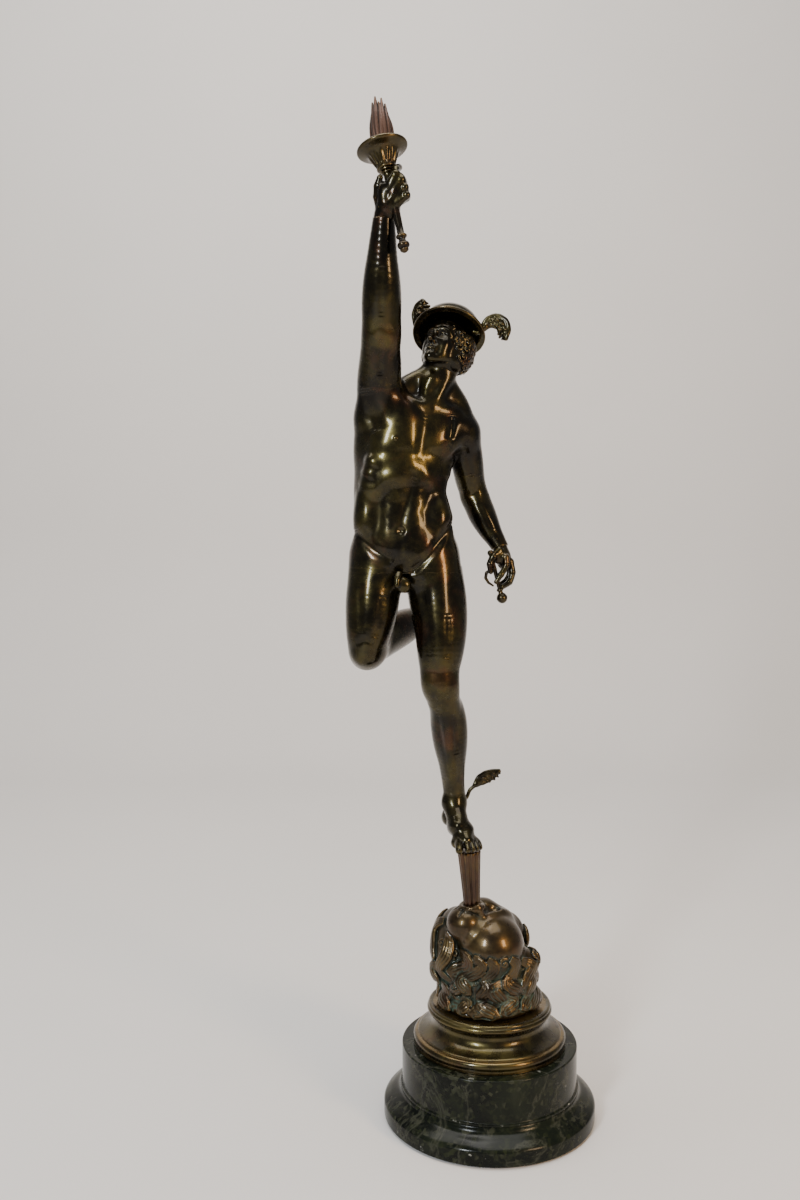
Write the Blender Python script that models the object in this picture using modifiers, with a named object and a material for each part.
"""Bronze statuette of a running messenger on a breath of wind.

A slender figure with a winged cap stands on the toes of one foot on a reeded
column, which is the breath blown straight up by a wind head lying face up.
The wind head sits on a turned bronze socle, and the socle on a turned marble
plinth.  One central tie rod holds the bronze on the marble.

Frame: origin at the centre of the underside, +Z up, the figure faces -Y.
All driving dimensions below are in millimetres.
"""
import bpy
import bmesh
import math
from mathutils import Matrix, Vector

MM = 0.001
GAP = 0.3                      # clearance between neighbouring pieces

# turned base
PLINTH_R = 85.0                # marble plinth, radius at the floor
FELT_R = 80.0
FELT_T = 1.2
MARBLE_Z0 = FELT_T + GAP
BAND_TOP = 12.4                # top of the plinth's upright band
DRUM_R = 70.2
DRUM_Z0 = 27.6
DRUM_Z1 = 60.4
SOCLE_Z0 = DRUM_Z1 + GAP
SOCLE_R = 60.7
SOCLE_NECK_R = 44.9
SOCLE_TOP_R = 49.6
SOCLE_Z1 = 93.1
SOCLE_WALL = 4.0
ROD_R = 4.0                    # M8 tie rod
ROD_BORE_R = 4.6
POCKET_R = 15.0                # pocket for nut and washer under the plinth
POCKET_Z = 20.0
WIND_Z0 = SOCLE_Z1 + GAP

# wind column
COLUMN_BOTTOM = Vector((-14.6, -8.0, 172.0))
COLUMN_TOP = Vector((-17.3, -10.0, 219.6))
COLUMN_DIR = (COLUMN_TOP - COLUMN_BOTTOM).normalized()
COLUMN_R0 = 6.6
COLUMN_R1 = 9.3
COLUMN_REEDS = 10

# torch: the centre of the saucer's rim and the direction of the handle
TORCH_C = Vector((-83.2, -50.0, 745.5))
TORCH_AXIS = Vector((-0.2015, 0.2267, 0.953)).normalized()
HANDLE_R = 2.9
SAUCER_R = 18.4
FLAME_H = 36.5
PEG_R = 4.0

# caduceus stub in the lowered hand
STUB_LOW = Vector((10.0, 15.0, 417.2))
STUB_HIGH = Vector((0.5, 12.5, 453.0))
STUB_R = 1.7
STUB_BALL_R = 4.4

# planes where the castings are joined: point on the plane, outward direction
SHOULDER_R = (Vector((-85.6, -11.0, 586.0)), Vector((0.0, -0.42, 0.907)))
SHOULDER_L = (Vector((-9.6, 27.5, 516.0)), Vector((0.22, -0.10, -0.97)))
NECK = (Vector((-36.0, 2.0, 586.4)), Vector((0.10, -0.05, 0.99)))
HIP_Z = 441.0
LEG_SPLIT_X = -66.5

VOXEL = 2.3                    # grain of the soft forms
FORM_FACES = 3600


# ------------------------------------------------------------------ helpers
def clear_scene():
    for ob in list(bpy.data.objects):
        bpy.data.objects.remove(ob, do_unlink=True)


def collection(name, shown=True):
    col = bpy.data.collections.new(name)
    bpy.context.scene.collection.children.link(col)
    col.hide_render = not shown
    return col


clear_scene()
PARTS = collection("bronze_statuette")
CUTTERS = collection("cutters")


def material(name, colour, metallic, roughness):
    mat = bpy.data.materials.new(name)
    mat.use_nodes = True
    bsdf = mat.node_tree.nodes["Principled BSDF"]
    bsdf.inputs["Base Color"].default_value = (*colour, 1.0)
    bsdf.inputs["Metallic"].default_value = metallic
    bsdf.inputs["Roughness"].default_value = roughness
    return mat


COLOURS = {
    "bronze": ((0.060, 0.040, 0.022), 0.9, 0.30),
    "golden": ((0.150, 0.100, 0.040), 0.9, 0.34),
    "copper": ((0.170, 0.070, 0.045), 0.8, 0.45),
    "verdigris": ((0.075, 0.080, 0.050), 0.6, 0.50),
    "marble": ((0.030, 0.040, 0.032), 0.0, 0.20),
    "steel": ((0.450, 0.440, 0.420), 1.0, 0.40),
    "felt": ((0.030, 0.090, 0.050), 0.0, 0.95),
}


def finish(ob, finish_name, round_edges=True):
    """Give a piece its own material and smooth shading on its round faces."""
    colour, metallic, roughness = COLOURS[finish_name]
    ob.data.materials.clear()
    ob.data.materials.append(
        material(ob.name + "_finish", colour, metallic, roughness))
    if round_edges:
        ob.data.shade_smooth()
        ob.data.set_sharp_from_angle(angle=math.radians(35))
    return ob


def put(name, mesh, col=None):
    mesh.name = name
    ob = bpy.data.objects.new(name, mesh)
    (col or PARTS).objects.link(ob)
    if col is CUTTERS:
        ob.hide_render = True
        ob.display_type = 'WIRE'
    return ob


def from_bmesh(name, bm, col=None):
    me = bpy.data.meshes.new(name)
    bm.to_mesh(me)
    bm.free()
    return put(name, me, col)


def bake(ob, name=None, col=None):
    """Replace an object by a plain mesh of what its modifiers make."""
    bpy.context.view_layer.update()
    deps = bpy.context.evaluated_depsgraph_get()
    me = bpy.data.meshes.new_from_object(ob.evaluated_get(deps))
    me.transform(ob.matrix_world)
    name = name or ob.name
    bpy.data.objects.remove(ob, do_unlink=True)
    return put(name, me, col)


def frame_at(origin, axis):
    """Matrix whose +Z is the given axis, at the given origin, in metres."""
    z = Vector(axis).normalized()
    x = Vector((0, 1, 0)) if abs(z.x) > 0.9 else Vector((1, 0, 0))
    x = (x - z * x.dot(z)).normalized()
    rot = Matrix((x, z.cross(x), z)).transposed().to_4x4()
    return Matrix.Translation(Vector(origin) * MM) @ rot


def rod(name, low, high, r0, r1=None, sides=14, col=None):
    """Straight round bar or taper between two points."""
    low, high = Vector(low), Vector(high)
    length = (high - low).length
    bm = bmesh.new()
    bmesh.ops.create_cone(
        bm, cap_ends=True, segments=sides, radius1=r0 * MM,
        radius2=(r1 if r1 is not None else r0) * MM, depth=length * MM,
        matrix=frame_at((low + high) / 2, high - low))
    return from_bmesh(name, bm, col)


def block(name, centre, size, axis=(0, 0, 1), col=None):
    bm = bmesh.new()
    bmesh.ops.create_cube(bm, size=1.0, matrix=frame_at(centre, axis)
                          @ Matrix.Diagonal((*(s * MM for s in size), 1.0)))
    return from_bmesh(name, bm, col)


def turned(name, profile, steps, place=None, col=None, ring=False):
    """Solid of revolution.  The profile is (radius, height) pairs running
    down the outer side; a ring closes back up its bore."""
    me = bpy.data.meshes.new(name)
    verts = [(r * MM, 0.0, z * MM) for r, z in profile]
    edges = [(i, i + 1) for i in range(len(verts) - 1)]
    if ring:
        edges.append((len(verts) - 1, 0))
    me.from_pydata(verts, edges, [])
    ob = put(name, me, col)
    if place is not None:
        ob.matrix_world = place
    mod = ob.modifiers.new("turn", 'SCREW')
    mod.axis = 'Z'
    mod.steps = mod.render_steps = steps
    mod.use_merge_vertices = True
    mod.merge_threshold = 0.00001
    return bake(ob, col=col)


def boolean(ob, cutter, op='DIFFERENCE'):
    mod = ob.modifiers.new(op.lower(), 'BOOLEAN')
    mod.solver = 'EXACT'
    mod.operation = op
    mod.object = cutter
    return ob


def add_ball(bm, centre, radii, axis=(0, 0, 1), seg=16):
    bmesh.ops.create_uvsphere(
        bm, u_segments=seg, v_segments=seg // 2 + 2, radius=1.0,
        matrix=frame_at(centre, axis)
        @ Matrix.Diagonal((radii[0] * MM, radii[1] * MM, radii[2] * MM, 1.0)))


def add_limb(bm, chain, seg=16):
    """A limb: a ball at each station and a taper between neighbours."""
    for x, y, z, r in chain:
        add_ball(bm, (x, y, z), (r, r, r), seg=seg)
    for a, b in zip(chain, chain[1:]):
        pa, pb = Vector(a[:3]), Vector(b[:3])
        bmesh.ops.create_cone(
            bm, cap_ends=True, segments=seg, radius1=a[3] * MM,
            radius2=b[3] * MM, depth=(pb - pa).length * MM,
            matrix=frame_at((pa + pb) / 2, pb - pa))


def soft(name, bm, voxel, faces, smooth=6, col=None):
    """Melt overlapping balls and tapers into one skin of few faces."""
    ob = from_bmesh(name, bm, col)
    mod = ob.modifiers.new("melt", 'REMESH')
    mod.mode = 'VOXEL'
    mod.voxel_size = voxel * MM
    mod.adaptivity = 0.0
    mod = ob.modifiers.new("relax", 'SMOOTH')
    mod.factor = 0.5
    mod.iterations = smooth
    ob = bake(ob, col=col)
    mod = ob.modifiers.new("thin_out", 'DECIMATE')
    tris = sum(len(p.vertices) - 2 for p in ob.data.polygons)
    mod.ratio = min(1.0, faces / tris)
    mod.use_collapse_triangulate = True
    return bake(ob, col=col)


# -------------------------------------------------------------- turned base
plinth = turned("marble_plinth", [
    (ROD_BORE_R, DRUM_Z1), (DRUM_R - 1.0, DRUM_Z1), (DRUM_R, DRUM_Z1 - 1.0),
    (DRUM_R, DRUM_Z0), (71.2, 25.6), (72.4, 23.1),
    (76.4, 18.6), (82.0, 16.2),
    (PLINTH_R, BAND_TOP), (PLINTH_R, MARBLE_Z0 + 0.8),
    (PLINTH_R - 0.8, MARBLE_Z0), (POCKET_R, MARBLE_Z0), (POCKET_R, POCKET_Z),
    (ROD_BORE_R, POCKET_Z)], 36, ring=True)
finish(plinth, "marble")

felt = turned("felt_pad", [
    (0.0, FELT_T), (FELT_R, FELT_T), (FELT_R, 0.0), (0.0, 0.0)], 32)
finish(felt, "felt")

# The rod runs from the pocket under the marble up into the wind head.
ROD_Z0 = 6.0
ROD_Z1 = 112.0
tie_rod = rod("tie_rod", (0, 0, ROD_Z0), (0, 0, ROD_Z1), ROD_R, sides=14)
finish(tie_rod, "steel")

washer = turned("rod_washer", [
    (ROD_R + GAP, POCKET_Z - GAP), (12.0, POCKET_Z - GAP),
    (12.0, POCKET_Z - GAP - 1.6), (ROD_R + GAP, POCKET_Z - GAP - 1.6)],
    28, ring=True)
finish(washer, "steel")

nut_top = POCKET_Z - 2 * GAP - 1.6
nut = rod("rod_nut", (0, 0, nut_top - 6.5), (0, 0, nut_top), 7.5, sides=6)
boolean(nut, rod("nut_bore", (0, 0, nut_top - 9), (0, 0, nut_top + 3),
                 ROD_R + GAP, sides=14, col=CUTTERS))
finish(nut, "steel", False)

w = SOCLE_WALL
socle = turned("bronze_socle", [
    (ROD_R + GAP, SOCLE_Z1), (SOCLE_TOP_R - 1.8, SOCLE_Z1),
    (SOCLE_TOP_R + 0.4, 89.6), (SOCLE_TOP_R, 86.4), (45.4, 83.4),
    (SOCLE_NECK_R, 80.0), (47.6, 75.0), (54.6, 71.0), (59.3, 69.0),
    (SOCLE_R + 0.3, 64.8), (SOCLE_R, SOCLE_Z0), (SOCLE_R - w, SOCLE_Z0),
    (52.0, 66.8), (43.6, 71.4), (SOCLE_NECK_R - w, 80.0),
    (SOCLE_NECK_R - w + 1.0, SOCLE_Z1 - 4.6), (9.0, SOCLE_Z1 - 4.6),
    (9.0, 76.0), (ROD_R + GAP, 76.0)], 36, ring=True)
finish(socle, "golden")

# ---------------------------------------------------------------- wind head
bm = bmesh.new()
add_ball(bm, (-3, 0, 136), (37, 37, 39))
add_ball(bm, (-21, -8, 162), (18, 18, 15))
add_ball(bm, (10, -4, 156), (25, 25, 22))
add_ball(bm, (-14, 12, 160), (18, 18, 16))
add_limb(bm, [(-34, -6, 152, 8), (-38.5, -12, 132, 8), (-38, -10, 112, 7.5)], 12)
add_limb(bm, [(-26, -26, 142, 9), (-14, -34, 126, 9), (-20, -32, 106, 9)], 12)
add_limb(bm, [(6, -30, 142, 9), (16, -33, 124, 9.5), (6, -34, 104, 9)], 12)
add_limb(bm, [(28, -14, 150, 9), (31, -18, 128, 9), (27, -20, 106, 9)], 12)
add_limb(bm, [(28, 10, 150, 10), (31.5, 8, 136, 9), (28, 12, 108, 9)], 12)
add_limb(bm, [(12, 30, 146, 9), (14, 33, 126, 10), (10, 34, 106, 9)], 12)
add_limb(bm, [(-18, 30, 144, 9), (-22, 33, 124, 10), (-20, 32, 106, 9)], 12)
add_ball(bm, (-2, 0, 104), (36, 37, 14))
wind = soft("wind_head", bm, 2.6, 1000, smooth=5)
boolean(wind, block("wind_foot_plane", (0, 0, WIND_Z0 - 30), (140, 140, 60),
                    col=CUTTERS))
bm = bmesh.new()
add_ball(bm, (-2, 0, 118), (27, 27, 32), seg=20)
add_ball(bm, (-2, 0, 96), (24, 24, 16), seg=20)
core = soft("wind_core", bm, 3.2, 200, smooth=3, col=CUTTERS)
boolean(wind, core)
boolean(wind, rod("wind_mouth", COLUMN_BOTTOM - COLUMN_DIR * GAP,
                  COLUMN_TOP, COLUMN_R0 + 0.9, COLUMN_R1 + 0.9, 24, CUTTERS))
DOWEL_LOW = COLUMN_BOTTOM - COLUMN_DIR * 12
DOWEL_HIGH = COLUMN_BOTTOM + COLUMN_DIR * 14
boolean(wind, rod("dowel_hole_wind", DOWEL_LOW - COLUMN_DIR * 24,
                  DOWEL_HIGH, 2.5 + GAP, sides=16, col=CUTTERS))
finish(wind, "verdigris")

# A bar across the hollow head takes the rod's upper nut.
bar = rod("core_bar", (-17, 0, 104), (17, 0, 104), 4.6, sides=16)
boolean(bar, rod("bar_bore", (0, 0, 95), (0, 0, 125), ROD_R + GAP, sides=14,
                 col=CUTTERS))
finish(bar, "steel")
top_nut = rod("rod_top_nut", (0, 0, 109.4), (0, 0, 115.4), 7.5, sides=6)
boolean(top_nut, rod("top_nut_bore", (0, 0, 106), (0, 0, 119), ROD_R + GAP,
                     sides=14, col=CUTTERS))
finish(top_nut, "steel", False)

# -------------------------------------------------------------- wind column
def reeded(name, low, high, r0, r1, reeds, depth):
    """Tapered column with rounded reeds: a round bar cut by slim grooves."""
    ob = rod(name, low, high, r0, r1, sides=4 * reeds)
    axis = (high - low).normalized()
    side = axis.orthogonal().normalized()
    bm = bmesh.new()
    for i in range(reeds):
        spoke = Matrix.Rotation(2 * math.pi * i / reeds, 3, axis) @ side
        a = low + spoke * (r0 + 0.4) - axis * 3
        b = high + spoke * (r1 + 0.4) + axis * 3
        bmesh.ops.create_cone(
            bm, cap_ends=True, segments=6, radius1=depth * MM,
            radius2=depth * MM, depth=(b - a).length * MM,
            matrix=frame_at((a + b) / 2, b - a))
    boolean(ob, from_bmesh(name + "_grooves", bm, CUTTERS))
    return ob


column = reeded("wind_column", COLUMN_BOTTOM, COLUMN_TOP, COLUMN_R0,
                COLUMN_R1, COLUMN_REEDS, 1.3)
boolean(column, rod("dowel_hole_column", DOWEL_LOW, DOWEL_HIGH
                    + COLUMN_DIR * GAP, 2.5 + GAP, sides=16,
                    col=CUTTERS))
FOOT_PIN_LOW = COLUMN_TOP - Vector((0, 0, 12.0))
FOOT_PIN_HIGH = COLUMN_TOP + Vector((0, 0, 7.0))
foot_hole = rod("foot_pin_hole", FOOT_PIN_LOW - Vector((0, 0, GAP)),
                FOOT_PIN_HIGH + Vector((0, 0, GAP)), 1.5 + GAP, sides=14,
                col=CUTTERS)
boolean(column, foot_hole)
finish(column, "bronze")
finish(rod("column_dowel", DOWEL_LOW, DOWEL_HIGH, 2.5, sides=16), "steel")
finish(rod("foot_pin", FOOT_PIN_LOW, FOOT_PIN_HIGH, 1.5, sides=14), "steel")

# --------------------------------------------------------- the figure's form
bm = bmesh.new()
# pelvis, belly, rib cage and chest
add_ball(bm, (-67, 4, 456), (40, 26, 22))
add_ball(bm, (-73, 0, 476), (34, 23, 22))
add_ball(bm, (-71, 2, 497), (34, 22, 22))
add_ball(bm, (-70, 3, 521), (36, 26, 26))
add_ball(bm, (-69, 2, 543), (38, 26, 21))
add_ball(bm, (-56, 8, 561), (27, 18, 15))
add_ball(bm, (-87, 20, 450), (20, 18, 21))
add_ball(bm, (-49, 20, 450), (20, 18, 21))
# neck and head
add_limb(bm, [(-49, 5, 568, 14), (-43, 3, 580, 11.6), (-39.5, 2, 598, 11.2)])
add_ball(bm, (-34, 5, 619), (20, 23, 21))
add_ball(bm, (-40, -10, 608), (13, 12, 12))
add_ball(bm, (-30, 14, 611), (18, 17, 14))
# raised arm and fist
add_limb(bm, [(-87, 0, 558, 18.5), (-86.5, -10, 582, 16.3),
              (-85.5, -21, 604, 14.5), (-84.3, -29, 617, 12.9),
              (-84, -35, 632, 14.0), (-83.8, -40, 649, 13.9),
              (-83.2, -45, 667, 11.4), (-82.6, -50, 683, 8.8),
              (-82.2, -54, 697, 7.2)])
add_ball(bm, (-77.0, -58.5, 708.5), (10.2, 9.4, 11.6))
add_limb(bm, [(-71, -61, 714, 3.6), (-69, -60, 708, 3.6), (-69, -59, 702, 3.4)], 12)
add_limb(bm, [(-78, -62, 717, 3.4), (-75.5, -60.5, 723.5, 2.8)], 12)
# lowered arm and hand
add_limb(bm, [(-21, 11, 549, 14.8), (-18.5, 20, 532, 12.4),
              (-14.5, 30, 510, 12.0), (-9, 31, 492, 11.9),
              (-4, 28, 480, 10.8), (2.5, 24, 468, 8.8), (8.4, 20, 457, 7.0)])
add_ball(bm, (9.8, 18, 446), (8.4, 7.0, 12.0))
add_limb(bm, [(11, 16, 440, 5.0), (13, 15, 430, 4.2), (7.5, 15, 425, 3.6)], 12)
# standing leg and foot
add_limb(bm, [(-47, 6, 446, 21.5), (-42.5, 1, 417, 21.3),
              (-40.2, -4, 394.5, 18.8), (-40.6, -7, 373, 16.0),
              (-41, -8, 351, 14.0), (-36, -3, 332.5, 12.5),
              (-33, 5, 315, 15.0), (-30.9, 7, 296.5, 13.2),
              (-29.3, 8, 272, 10.2), (-28.2, 8, 260, 9.0),
              (-27.6, 7, 251, 8.8)])
add_limb(bm, [(-30.5, 15, 240, 8.0), (-27, 4, 241, 9.0),
              (-22, -7, 232, 9.2), (-18, -15, 227.5, 7.4),
              (-15.5, -22, 225, 5.2)])
add_limb(bm, [(-24, -11, 228.5, 7.6), (-22, -20, 225, 5.0)])
# free leg and foot
add_limb(bm, [(-88, 5, 449, 22), (-91.5, 0, 434, 20.8),
              (-93.2, -2, 417, 20.2), (-95.2, -4, 403, 18.8),
              (-97.0, -5, 389, 16.4), (-97.4, -3, 378, 14.0)])
add_limb(bm, [(-96, 2, 379, 13.4), (-86, 19, 383, 13.6), (-72, 41, 390, 14.0),
              (-58, 59, 394, 11.2), (-43, 77, 398, 7.8)])
add_limb(bm, [(-36, 84, 392, 7.6), (-37, 90, 400, 8.6), (-32, 103, 407, 7.6),
              (-30, 114, 410, 4.6)])
form = soft("figure_form", bm, VOXEL, FORM_FACES, smooth=5, col=CUTTERS)


def half_space(name, plane, width, length, shift=0.0):
    """Box on the outer side of a joint plane, its face on the plane."""
    point, out = plane
    out = out.normalized()
    centre = point + out * (length / 2 + shift)
    return block(name, centre, (width[0], width[1], length), out, CUTTERS)


# Regions of the limbs.  A region's twin, grown by the gap, cuts the torso.
def box_region(name, low, high):
    low, high = Vector(low), Vector(high)
    return block(name, (low + high) / 2, tuple(high - low), col=CUTTERS)


arm_r = half_space("arm_r_zone", SHOULDER_R, (50, 110), 190)
arm_r_grown = half_space("arm_r_zone_grown", SHOULDER_R, (50, 110), 190, -GAP)
arm_l = half_space("arm_l_zone", SHOULDER_L, (44, 44), 120)
arm_l_grown = half_space("arm_l_zone_grown", SHOULDER_L, (44, 44), 120, -GAP)
head_z = half_space("head_zone", NECK, (53, 100), 90)
head_grown = half_space("head_zone_grown", NECK, (53 + 2 * GAP, 100), 90, -GAP)
leg_l = box_region("leg_l_zone", (LEG_SPLIT_X, -80, 200), (-8, 24, HIP_Z))
boolean(leg_l, box_region("leg_l_back", (LEG_SPLIT_X, 10, 407),
                          (-8, 60, HIP_Z)), 'UNION')
leg_l_grown = box_region("leg_l_zone_grown", (LEG_SPLIT_X - GAP, -80, 200),
                         (-8, 24 + GAP, HIP_Z + GAP))
boolean(leg_l_grown, box_region("leg_l_back_grown",
                                (LEG_SPLIT_X - GAP, 10, 407 - GAP),
                                (-8, 60, HIP_Z + GAP)), 'UNION')
leg_r = box_region("leg_r_zone", (-140, -80, 340), (-8, 150, HIP_Z))
leg_r_grown = box_region("leg_r_zone_grown", (-140, -80, 340),
                         (-8, 150, HIP_Z + GAP))


def casting(name, keep, remove=()):
    ob = put(name, form.data.copy())
    if keep is not None:
        boolean(ob, keep, 'INTERSECT')
    for cutter in remove:
        boolean(ob, cutter)
    return ob


torso = casting("torso", None, (arm_r_grown, arm_l_grown, head_grown,
                                leg_l_grown, leg_r_grown))
head = casting("head", head_z)
right_arm = casting("right_arm", arm_r)
left_arm = casting("left_arm", arm_l)
left_leg = casting("left_leg", leg_l)
right_leg = casting("right_leg", leg_r, (leg_l_grown,))

# Hollow core of the torso, open into the joint sockets.
bm = bmesh.new()
add_ball(bm, (-68, 6, 460), (29, 15, 15))
add_ball(bm, (-73, 2, 478), (23, 13, 18))
add_ball(bm, (-71, 4, 500), (23, 13, 20))
add_ball(bm, (-70, 5, 526), (26, 16, 22))
add_ball(bm, (-66, 5, 543), (27, 15, 14))
torso_core = soft("torso_core", bm, 3.0, 200, smooth=3, col=CUTTERS)
boolean(torso, torso_core)


# Spigot joints.  The owner carries a round spigot that enters the other
# casting's socket, and a cross pin locks the two.
def spigot(name, owner, taker, plane_point, into, radius, length, cross,
           cross_half, reach=1.5, hollow=None):
    into = Vector(into).normalized()
    p = Vector(plane_point)
    sp = rod(name + "_spigot", p - into * 4, p + into * length, radius,
             sides=14, col=CUTTERS)
    boolean(owner, sp, 'UNION')
    socket = rod(name + "_socket", p - into * 5.0, p + into * (length + reach),
                 radius + GAP, sides=14, col=CUTTERS)
    boolean(taker, socket)
    if hollow is not None:
        boolean(owner, rod(name + "_hollow", p - into * hollow[0],
                           p + into * (length + 2), hollow[1], sides=16,
                           col=CUTTERS))
    c = p + into * (length * 0.55)
    cross = Vector(cross).normalized()
    hole = rod(name + "_pin_hole", c - cross * (cross_half[0] + GAP),
               c + cross * (cross_half[1] + GAP), 1.25 + GAP, sides=12,
               col=CUTTERS)
    boolean(owner, hole)
    boolean(taker, hole)
    pin = rod(name + "_pin", c - cross * cross_half[0],
              c + cross * cross_half[1], 1.25, sides=12)
    finish(pin, "steel")
    return pin


spigot("right_shoulder", right_arm, torso, SHOULDER_R[0], (0, 0.42, -0.907),
       7.0, 13.0, (1, 0, 0), (12.0, 12.0), reach=16)
spigot("left_shoulder", left_arm, torso, (-15.8, 27.5, 515.0), (-0.16, -0.36, 0.92),
       6.0, 12.0, (1, 0, 0.2), (8.5, 9.0), reach=2)
spigot("neck", head, torso, (-41.5, 2.5, 586.0), (-0.10, 0.05, -0.99),
       5.5, 11.0, (1, 0, 0), (9.0, 9.0), reach=26)
spigot("right_hip", torso, right_leg, (-91.0, 1.0, HIP_Z), (-0.06, -0.08, -1),
       10.0, 14.0, (1, 0.1, 0), (16.0, 16.0), reach=40)
spigot("left_hip", torso, left_leg, (-44.5, 2.0, HIP_Z), (0.05, -0.10, -1),
       10.0, 14.0, (1, 0.1, 0), (16.0, 16.0), reach=2)
boolean(left_leg, foot_hole)

# ------------------------------------------------------------ cap and wings
CAP_C = Vector((-33.0, 8.0, 621.5))
CAP_UP = Vector((0.13, 0.60, 0.79)).normalized()
CAP_R = 25.2
cap_profile = [
    (0.0, 25.0), (8.0, 24.2), (15.0, 21.4), (20.4, 16.4), (23.2, 10.8),
    (24.4, 7.0), (27.6, 4.6), (28.6, 3.2), (27.8, 2.2), (23.0, 3.0),
    (21.6, 7.2), (20.0, 11.8), (17.0, 16.2), (12.0, 19.4), (6.0, 21.2),
    (0.0, 21.6)]
cap = turned("petasos_cap", cap_profile, 22, frame_at(CAP_C, CAP_UP))
# The skull under the cap keeps clear of it.
boolean(head, turned("cap_room", [
    (0.0, 25.0 + 9), (30.0, 25.0 + 6), (34.0, 4.6 + GAP), (34.0, 2.2 - GAP),
    (27.6, 2.2 - GAP), (22.8, 3.0 - GAP), (21.3, 7.0), (19.7, 11.6),
    (16.8, 15.9), (11.9, 19.0), (6.0, 20.8), (0.0, 21.2)],
    22, frame_at(CAP_C, CAP_UP), CUTTERS))


def wing_form(name, root, tip, across, half_w, thick, droop, grow, faces,
              col=None):
    """A leaf of feathers: a flattened, curved paddle."""
    span = tip - root
    out = span.normalized()
    across = Vector(across)
    across = (across - out * across.dot(out)).normalized()
    normal = out.cross(across).normalized()
    rot = Matrix((across, normal, out)).transposed().to_4x4()
    bm = bmesh.new()
    for i in range(9):
        t = i / 8
        half = half_w * (0.30 + 0.70 * math.sin(math.pi * t ** 0.8))
        p = root + span * t + across * droop * (t * t - t) * 2
        bmesh.ops.create_uvsphere(
            bm, u_segments=14, v_segments=8, radius=1.0,
            matrix=Matrix.Translation(p * MM) @ rot @ Matrix.Diagonal(
                ((max(half, thick * 0.8) + grow) * MM, (thick + grow) * MM,
                 (span.length / 7 + grow) * MM, 1.0)))
    return soft(name, bm, min(1.1, thick * 0.55), faces, smooth=2, col=col)


def wing(name, host, root, tip, across, half_w, thick, droop, peg):
    """A wing with a peg that seats in a hole of the casting it stands on."""
    root, tip, peg = Vector(root), Vector(tip), Vector(peg)
    args = (root, tip, across, half_w, thick, droop)
    ob = wing_form(name, *args, 0.0, 150)
    out = (tip - root).normalized()
    boolean(ob, rod(name + "_peg", peg, root + out * 2.5, 1.6, sides=12,
                    col=CUTTERS), 'UNION')
    boolean(host, wing_form(name + "_room", *args, GAP + 0.35, 500,
                            col=CUTTERS))
    seat = root + out * 2.5
    into = (seat - peg).normalized()
    boolean(host, rod(name + "_hole", peg - into * 0.5, seat + into * 1.5,
                      1.6 + GAP + 0.1, sides=12, col=CUTTERS))
    return ob


cap_wing_outer = wing("cap_wing_left", cap, (-6.5, 3.0, 626.0), (9.5, -2.0, 617.5),
                      (0.35, 0.1, 0.95), 7.2, 2.1, -9.0, (-11.5, 5.2, 626.4))
cap_wing_inner = wing("cap_wing_right", cap, (-54.3, 23.8, 625.5),
                      (-54.0, 25.5, 650.5), (0.9, 0.1, -0.2), 6.0, 2.0, 4.0,
                      (-50.2, 21.7, 624.8))

# ankle wings, pinned to the heels
ankle_l = wing("left_ankle_wing", left_leg, (-17.0, 10.0, 259.0), (9.2, 16.5, 276.0),
               (-0.45, 0.1, 0.9), 5.6, 1.9, 5.0, (-20.8, 8.8, 257.0))
ankle_r = wing("right_ankle_wing", right_leg, (-43.0, 84.0, 410.5), (-40.0, 96.0, 434.0),
               (0.2, 0.95, -0.3), 5.6, 1.9, 4.0, (-41.5, 80.5, 404.5))

# ------------------------------------------------------------------- torch
def on_torch(t):
    return TORCH_C + TORCH_AXIS * t


handle = turned("torch_handle", [
    (0.0, -12.6), (2.6, -12.6), (2.6, -16.7), (HANDLE_R + 0.3, -16.9),
    (HANDLE_R, -28.0), (2.6, -50.0), (2.5, -66.5), (3.7, -67.8),
    (3.7, -69.6), (2.6, -70.8), (2.9, -72.4), (3.7, -74.6), (3.6, -77.0),
    (2.4, -79.2), (0.0, -80.0)], 14, frame_at(TORCH_C, TORCH_AXIS))
finish(handle, "bronze")
boolean(right_arm, rod("handle_room", on_torch(-81), on_torch(-12),
                       HANDLE_R + 0.6 + GAP, sides=14, col=CUTTERS))

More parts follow.
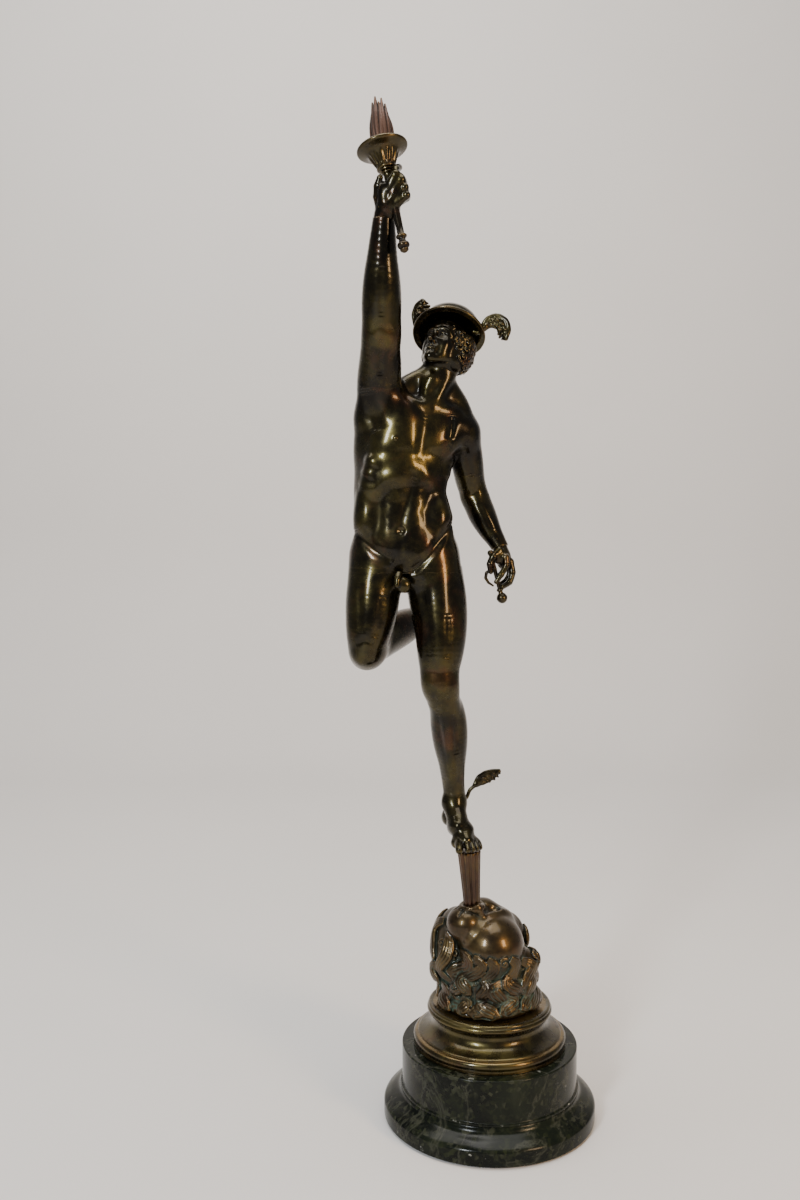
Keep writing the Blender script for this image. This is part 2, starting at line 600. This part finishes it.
cup = turned("torch_cup", [
    (PEG_R + GAP, 1.4), (13.0, 0.6), (16.8, 1.6), (SAUCER_R, 1.8),
    (SAUCER_R + 0.2, 0.6), (17.4, -0.8), (12.4, -3.6), (9.2, -8.0),
    (7.0, -13.4), (5.2, -15.4), (5.4, -16.6), (2.9, -16.6), (2.9, -12.3),
    (PEG_R + GAP, -10.4)], 22, frame_at(TORCH_C, TORCH_AXIS), ring=True)
finish(cup, "bronze")

bm = bmesh.new()
side = Vector((1, 0, 0)) - TORCH_AXIS * TORCH_AXIS.x
side.normalize()
back = TORCH_AXIS.cross(side)
for k, (dx, dy, top) in enumerate(((-5.6, 0.5, 36.0), (-2.4, -2.4, 39.2),
                                   (1.4, 1.8, 37.0), (4.4, -0.6, 32.0),
                                   (0.4, -2.0, 34.0))):
    base = on_torch(2.6) + side * dx * 0.75 + back * dy
    mid = on_torch(16.0) + side * dx + back * dy
    end = on_torch(top) + side * (dx * 0.8 - 0.4) + back * dy * 0.5
    add_limb(bm, [(*base, 3.0), (*mid, 3.6), (*(mid.lerp(end, 0.55)), 2.6),
                  (*end, 0.9)], 12)
flame = soft("torch_flame", bm, 1.0, 420, smooth=3)
boolean(flame, rod("flame_foot_plane", on_torch(-12), on_torch(1.9), 14,
                   sides=24, col=CUTTERS))
boolean(flame, rod("flame_peg", on_torch(-9.6), on_torch(5.0), PEG_R,
                   sides=18, col=CUTTERS), 'UNION')
finish(flame, "copper")

# -------------------------------------------------------------- caduceus
axis = (STUB_LOW - STUB_HIGH).normalized()
L = (STUB_LOW - STUB_HIGH).length
stub = turned("caduceus_stub", [
    (0.0, L + STUB_BALL_R), (2.2, L + 3.8), (3.8, L + 2.2), (STUB_BALL_R, L),
    (3.8, L - 2.2), (STUB_R + 0.4, L - 3.9), (STUB_R, L - 5.0),
    (STUB_R, 0.0), (0.0, 0.0)], 12, frame_at(STUB_HIGH, axis))
finish(stub, "bronze")
boolean(left_arm, rod("stub_room", STUB_HIGH - axis * GAP,
                      STUB_LOW + axis * 8, STUB_R + GAP + 0.1, sides=16,
                      col=CUTTERS))
boolean(left_arm, rod("stub_ball_room", STUB_LOW - axis * 6.0,
                      STUB_LOW + axis * 12, STUB_BALL_R + GAP, sides=18,
                      col=CUTTERS))

for ob in (torso, head, right_arm, left_arm, left_leg, right_leg, cap,
           cap_wing_outer, cap_wing_inner, ankle_l, ankle_r):
    finish(ob, "bronze")
